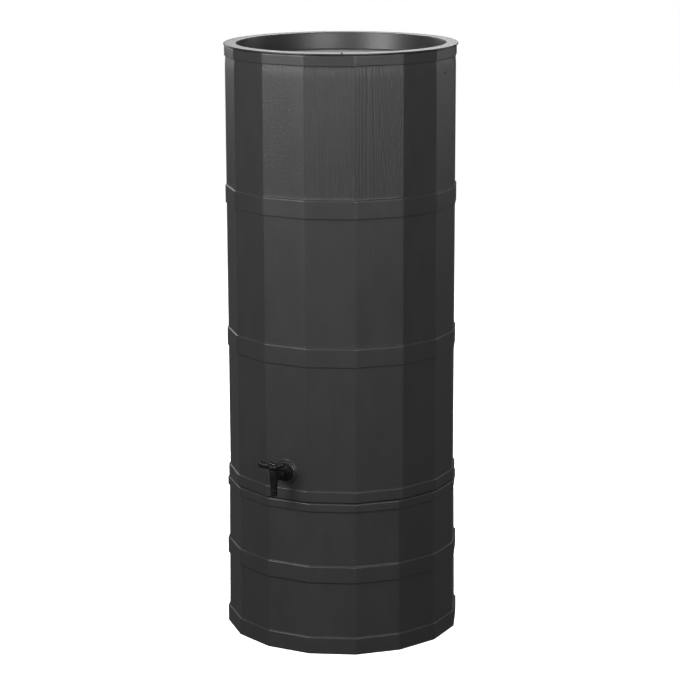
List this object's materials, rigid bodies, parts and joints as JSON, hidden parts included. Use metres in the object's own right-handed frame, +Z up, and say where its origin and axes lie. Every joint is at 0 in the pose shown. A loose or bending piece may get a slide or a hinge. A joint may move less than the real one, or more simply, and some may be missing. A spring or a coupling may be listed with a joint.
{
  "type": "rain barrel on stand",
  "caption": "Sixteen-sided coopered-look plastic rain barrel with moulded hoops, a recessed lift-off lid, a hollow stand and a plug tap with a lever handle and hose tail.",
  "frame": {"origin": "centre of the stand's foot, on the floor", "axes": "+Z up along the barrel's axis, -Y forwards through the tap, +X to the right as seen from the tap"},
  "size_m": [0.4512, 0.4991, 1.1478],
  "materials": {
    "anthracite_plastic": "semi-matte moulded polyethylene with a wood-grain emboss",
    "black_gloss_plastic": "glossy black",
    "seal_rubber": "matt black rubber",
    "screw_steel": "plain steel"
  },
  "bodies": {
    "stand": {"stand": "anthracite_plastic"},
    "barrel": {"barrel_shell": "anthracite_plastic", "tap_body": "black_gloss_plastic", "tap_outer_washer": "seal_rubber", "tap_inner_seal": "seal_rubber", "tap_lock_nut": "black_gloss_plastic", "tap_gland_nut": "black_gloss_plastic"},
    "tap_valve": {"tap_plug": "black_gloss_plastic", "plug_oring_upper": "seal_rubber", "plug_oring_lower": "seal_rubber", "stem_oring": "seal_rubber", "tap_handle": "black_gloss_plastic", "handle_screw": "screw_steel"},
    "lid": {"lid": "anthracite_plastic"}
  },
  "joints": [
    {"name": "barrel_lift", "type": "slide", "parent": "stand", "child": "barrel", "axis": [0, 0, 1], "range_m": [0, 0.12]},
    {"name": "tap_turn", "type": "hinge", "parent": "barrel", "child": "tap_valve", "pos_m": [0, -0.26107, 0.353], "axis": [0, 0, 1], "range_deg": [0, 90]},
    {"name": "lid_lift", "type": "slide", "parent": "barrel", "child": "lid", "axis": [0, 0, 1], "range_m": [0, 0.15]}
  ]
}
